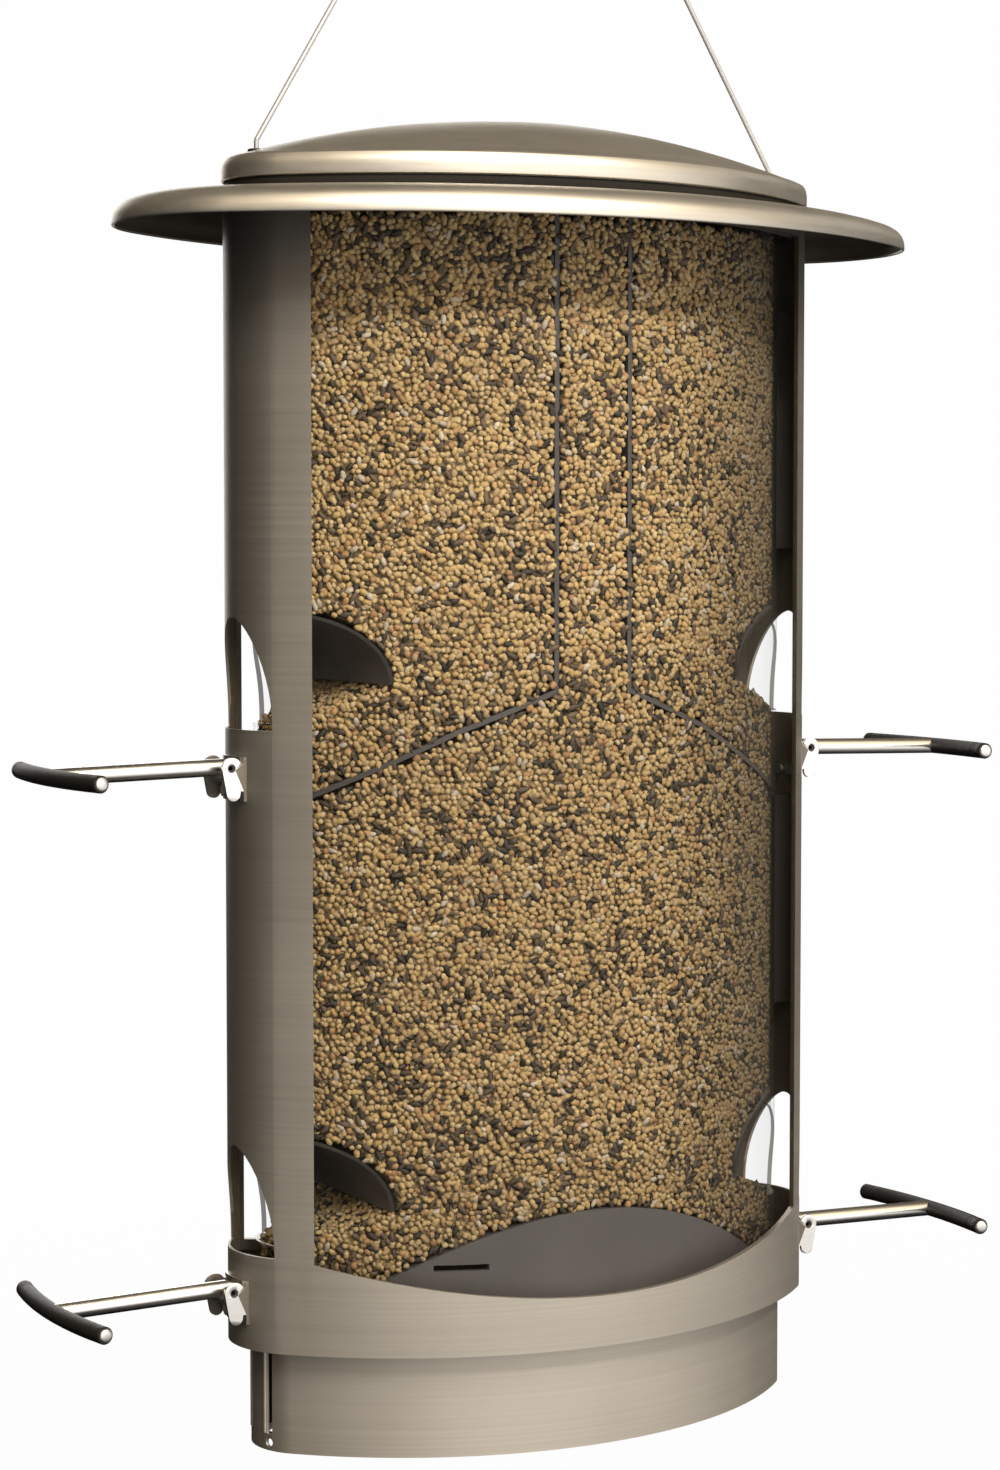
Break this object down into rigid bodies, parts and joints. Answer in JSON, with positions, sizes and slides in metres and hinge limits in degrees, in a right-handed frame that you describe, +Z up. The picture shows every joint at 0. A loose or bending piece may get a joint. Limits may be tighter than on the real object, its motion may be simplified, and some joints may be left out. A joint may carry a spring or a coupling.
{
  "type": "hanging seed feeder",
  "caption": "Hanging oval seed feeder: clear hopper with inner divider, spring-held metal shroud that drops to close the ports, fold-up T perches, lift-up roof on a cable.",
  "frame": {"origin": "centre of the bore of the hanging eye at the top of the cable", "axes": "+Z up, X along the long side of the oval through the perches, -Y the front face, +Y also the axis of the hanging eye's bore"},
  "size_m": [0.3102, 0.1494, 0.5204],
  "materials": {
    "champagne_metal": "satin, fine horizontal brushing",
    "bright_steel": "polished",
    "plug_metal": "satin",
    "grip_rubber": "matt",
    "grey_plastic": "fine moulded grain",
    "clear_plastic": "clear, polished",
    "spring_steel": "satin wire",
    "wire_rope": "stranded wire",
    "seed_mix": "dry seed, mixed tan, brown and black"
  },
  "bodies": {
    "hopper": {"reservoir_tube": "clear_plastic", "hopper_divider": "grey_plastic", "port_hoods": "grey_plastic", "seed_floor": "grey_plastic", "base_skirt": "champagne_metal", "base_plate": "grey_plastic", "base_screws": "spring_steel", "return_springs": "spring_steel", "top_collar": "grey_plastic", "collar_screws": "spring_steel", "cable_ferrules": "plug_metal", "cable_tails": "wire_rope", "hanger_cable": "wire_rope", "hanging_eye": "plug_metal", "seed_fill_lower": "seed_mix", "seed_fill_upper": "seed_mix"},
    "shroud": {"shroud_shell": "champagne_metal", "glide_pads": "grey_plastic", "spring_yoke": "spring_steel", "perch_bracket_lower_left": "bright_steel", "perch_bracket_lower_right": "bright_steel", "perch_bracket_upper_left": "bright_steel", "perch_bracket_upper_right": "bright_steel", "pivot_pins": "bright_steel", "bracket_rivets": "bright_steel"},
    "roof": {"roof_crown": "champagne_metal", "roof_brim": "champagne_metal", "roof_grommets": "grip_rubber", "roof_locating_ring": "grey_plastic"},
    "perch_lower_left": {"perch_stem_lower_left": "bright_steel", "perch_grip_lower_left": "grip_rubber", "perch_end_plugs_lower_left": "plug_metal"},
    "perch_lower_right": {"perch_stem_lower_right": "bright_steel", "perch_grip_lower_right": "grip_rubber", "perch_end_plugs_lower_right": "plug_metal"},
    "perch_upper_left": {"perch_stem_upper_left": "bright_steel", "perch_grip_upper_left": "grip_rubber", "perch_end_plugs_upper_left": "plug_metal"},
    "perch_upper_right": {"perch_stem_upper_right": "bright_steel", "perch_grip_upper_right": "grip_rubber", "perch_end_plugs_upper_right": "plug_metal"}
  },
  "joints": [
    {"name": "shroud_drop", "type": "slide", "parent": "hopper", "child": "shroud", "axis": [0, 0, -1], "range_m": [0, 0.03], "stiffness_N_per_m": 110, "springref_m": -0.05, "deforming": ["return_springs"]},
    {"name": "roof_lift", "type": "slide", "parent": "hopper", "child": "roof", "axis": [0, 0, 1], "range_m": [0, 0.06], "deforming": ["cable_tails", "hanger_cable"]},
    {"name": "perch_lower_left_fold", "type": "hinge", "parent": "shroud", "child": "perch_lower_left", "pos_m": [-0.1, 0, -0.462], "axis": [0, 1, 0], "range_deg": [0, 88]},
    {"name": "perch_lower_right_fold", "type": "hinge", "parent": "shroud", "child": "perch_lower_right", "pos_m": [0.1, 0, -0.462], "axis": [0, -1, 0], "range_deg": [0, 88]},
    {"name": "perch_upper_left_fold", "type": "hinge", "parent": "shroud", "child": "perch_upper_left", "pos_m": [-0.1, 0, -0.3092], "axis": [0, 1, 0], "range_deg": [0, 88]},
    {"name": "perch_upper_right_fold", "type": "hinge", "parent": "shroud", "child": "perch_upper_right", "pos_m": [0.1, 0, -0.3092], "axis": [0, -1, 0], "range_deg": [0, 88]}
  ]
}
